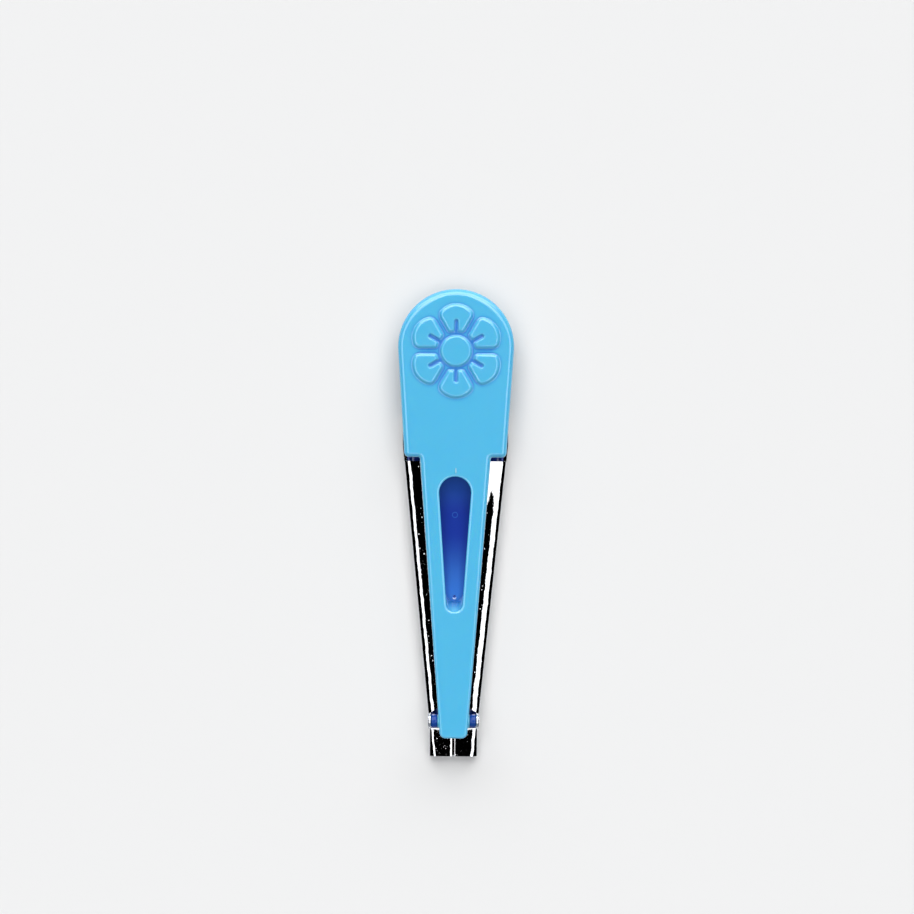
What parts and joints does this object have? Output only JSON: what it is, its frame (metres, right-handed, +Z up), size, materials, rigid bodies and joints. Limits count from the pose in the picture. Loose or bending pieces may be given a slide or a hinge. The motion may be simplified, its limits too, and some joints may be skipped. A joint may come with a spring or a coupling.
{
  "type": "bias tape maker",
  "caption": "Hand tool that folds a fabric strip into tape: a plated sheet channel tapers to a flat tip tube, with a plastic liner and a hinged plastic handle with an awl slot.",
  "frame": {"origin": "bottom centre of the whole tool with the handle closed, on the surface that the folder lies on", "axes": "+Y from the tip towards the handle's head, +Z up from the folder's floor, +X across the tool"},
  "size_m": [0.0178, 0.072, 0.0059],
  "materials": {
    "plated_sheet": "bright nickel plating on thin folded sheet",
    "plated_rivet": "bright nickel plating",
    "handle_plastic": "glossy moulded plastic, light blue",
    "liner_plastic": "glossy moulded plastic, dark blue"
  },
  "bodies": {
    "base": {"folder": "plated_sheet", "liner": "liner_plastic", "hinge_rivet": "plated_rivet", "washer_left": "liner_plastic", "washer_right": "liner_plastic"},
    "handle": {"handle": "handle_plastic"}
  },
  "joints": [
    {"name": "handle_hinge", "type": "hinge", "parent": "base", "child": "handle", "pos_m": [0, -0.0303, 0.0042], "axis": [1, 0, 0], "range_deg": [0, 35]}
  ]
}
